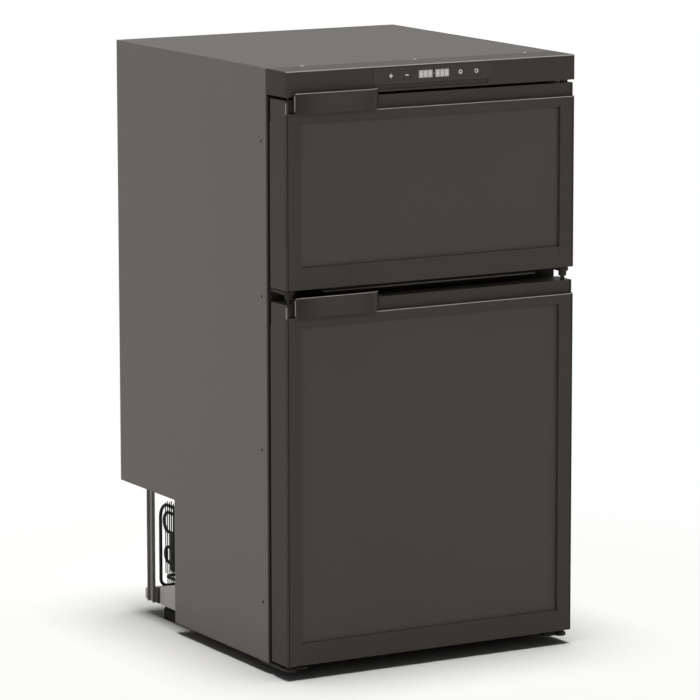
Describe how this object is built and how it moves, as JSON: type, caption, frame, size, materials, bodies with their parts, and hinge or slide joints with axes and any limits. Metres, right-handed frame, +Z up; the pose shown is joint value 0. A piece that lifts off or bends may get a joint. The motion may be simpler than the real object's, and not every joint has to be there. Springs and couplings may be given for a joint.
{
  "type": "rv refrigerator",
  "caption": "Built-in compressor refrigerator for a motor home, with a freezer door above a fridge door, paddle handles and a compressor bay at the lower rear.",
  "frame": {"origin": "middle of the bounding box in plan, at floor level", "axes": "+Z up, doors face -Y, hinges on the +X side, compressor bay at +Y"},
  "size_m": [0.45, 0.505, 0.822],
  "materials": {
    "side_steel": "satin",
    "top_steel": "satin",
    "back_steel": "satin",
    "foam": "matte",
    "liner_plastic": "gloss",
    "frame_plastic": "matte",
    "fascia_plastic": "satin",
    "profile_plastic": "satin",
    "insert_panel": "satin",
    "handle_plastic": "satin",
    "latch_plastic": "satin",
    "gasket_rubber": "matte",
    "module_plastic": "gloss",
    "key_plastic": "gloss",
    "window_plastic": "gloss",
    "board": "matte",
    "bracket_steel": "satin",
    "screw_steel": "satin",
    "skid_plastic": "matte",
    "evaporator_aluminium": "satin",
    "shelf_wire": "satin",
    "cover_glass": "gloss",
    "crisper_plastic": "gloss",
    "lamp_plastic": "gloss",
    "tray_steel": "satin",
    "post_steel": "satin",
    "clip_plastic": "matte",
    "compressor_black": "satin",
    "mount_rubber": "matte",
    "inverter_case": "satin",
    "coil_steel": "satin",
    "fan_plastic": "matte",
    "tube_steel": "satin"
  },
  "bodies": {
    "cabinet": {"side_panel_left": "side_steel", "side_panel_right": "side_steel", "top_panel": "top_steel", "back_panel": "back_steel", "bay_liner": "back_steel", "base_pan": "back_steel", "insulation": "foam", "freezer_liner": "liner_plastic", "fridge_liner": "liner_plastic", "front_frame": "frame_plastic", "fascia": "fascia_plastic", "control_module": "module_plastic", "display_window": "window_plastic", "control_board": "board", "hinge_brackets": "bracket_steel", "catch_brackets": "bracket_steel", "panel_screws": "screw_steel", "base_skids": "skid_plastic", "freezer_evaporator": "evaporator_aluminium", "fridge_evaporator": "evaporator_aluminium", "wire_shelves": "shelf_wire", "crisper_cover": "cover_glass", "crisper_box": "crisper_plastic", "lamp": "lamp_plastic", "compressor_tray": "tray_steel", "tray_posts": "post_steel", "tray_clips": "clip_plastic", "compressor": "compressor_black", "compressor_mounts": "mount_rubber", "inverter_unit": "inverter_case", "condenser_coil": "coil_steel", "condenser_wires": "coil_steel", "fan_frame": "fan_plastic", "refrigerant_tubes": "tube_steel"},
    "upper_door": {"upper_door_stiles": "profile_plastic", "upper_door_top_rail": "profile_plastic", "upper_door_bottom_rail": "profile_plastic", "upper_door_panel": "insert_panel", "upper_door_core": "foam", "upper_door_liner": "liner_plastic", "upper_door_gasket": "gasket_rubber", "upper_door_fittings": "profile_plastic"},
    "lower_door": {"lower_door_stiles": "profile_plastic", "lower_door_top_rail": "profile_plastic", "lower_door_bottom_rail": "profile_plastic", "lower_door_panel": "insert_panel", "lower_door_core": "foam", "lower_door_liner": "liner_plastic", "lower_door_gasket": "gasket_rubber", "lower_door_fittings": "profile_plastic", "door_racks": "crisper_plastic"},
    "upper_handle": {"upper_door_handle": "handle_plastic"},
    "lower_handle": {"lower_door_handle": "handle_plastic"},
    "upper_latch": {"upper_door_latch_bolt": "latch_plastic"},
    "lower_latch": {"lower_door_latch_bolt": "latch_plastic"},
    "fan": {"fan_rotor": "fan_plastic"},
    "plus_button": {"plus_key": "key_plastic"},
    "minus_button": {"minus_key": "key_plastic"},
    "power_button": {"power_key": "key_plastic"},
    "mode_button": {"mode_key": "key_plastic"}
  },
  "joints": [
    {"name": "upper_door_hinge", "type": "hinge", "parent": "cabinet", "child": "upper_door", "pos_m": [0.214, -0.2315, 0.5305], "axis": [0, 0, 1], "range_deg": [0, 120]},
    {"name": "lower_door_hinge", "type": "hinge", "parent": "cabinet", "child": "lower_door", "pos_m": [0.214, -0.2315, 0.02], "axis": [0, 0, 1], "range_deg": [0, 120]},
    {"name": "upper_handle_pivot", "type": "hinge", "parent": "upper_door", "child": "upper_handle", "pos_m": [-0.092, -0.2395, 0.7745], "axis": [0, 0, 1], "range_deg": [0, 8], "stiffness_Nm_per_rad": 0.6},
    {"name": "upper_latch_slide", "type": "slide", "parent": "upper_door", "child": "upper_latch", "axis": [0, 0, 1], "range_m": [-0.006, 0]},
    {"name": "lower_handle_pivot", "type": "hinge", "parent": "lower_door", "child": "lower_handle", "pos_m": [-0.092, -0.2395, 0.5025], "axis": [0, 0, 1], "range_deg": [0, 8], "stiffness_Nm_per_rad": 0.6},
    {"name": "lower_latch_slide", "type": "slide", "parent": "lower_door", "child": "lower_latch", "axis": [0, 0, 1], "range_m": [-0.006, 0]},
    {"name": "fan_spin", "type": "hinge", "parent": "cabinet", "child": "fan", "pos_m": [-0.116, 0.1505, 0.0675], "axis": [1, 0, 0], "continuous": true},
    {"name": "plus_press", "type": "slide", "parent": "cabinet", "child": "plus_button", "axis": [0, 1, 0], "range_m": [0, 0.0008], "stiffness_N_per_m": 200},
    {"name": "minus_press", "type": "slide", "parent": "cabinet", "child": "minus_button", "axis": [0, 1, 0], "range_m": [0, 0.0008], "stiffness_N_per_m": 200},
    {"name": "power_press", "type": "slide", "parent": "cabinet", "child": "power_button", "axis": [0, 1, 0], "range_m": [0, 0.0008], "stiffness_N_per_m": 200},
    {"name": "mode_press", "type": "slide", "parent": "cabinet", "child": "mode_button", "axis": [0, 1, 0], "range_m": [0, 0.0008], "stiffness_N_per_m": 200}
  ],
  "couplings": [
    {"joint": "upper_latch_slide", "follows": "upper_handle_pivot", "m_per_rad": -0.04297},
    {"joint": "lower_latch_slide", "follows": "lower_handle_pivot", "m_per_rad": -0.04297}
  ]
}
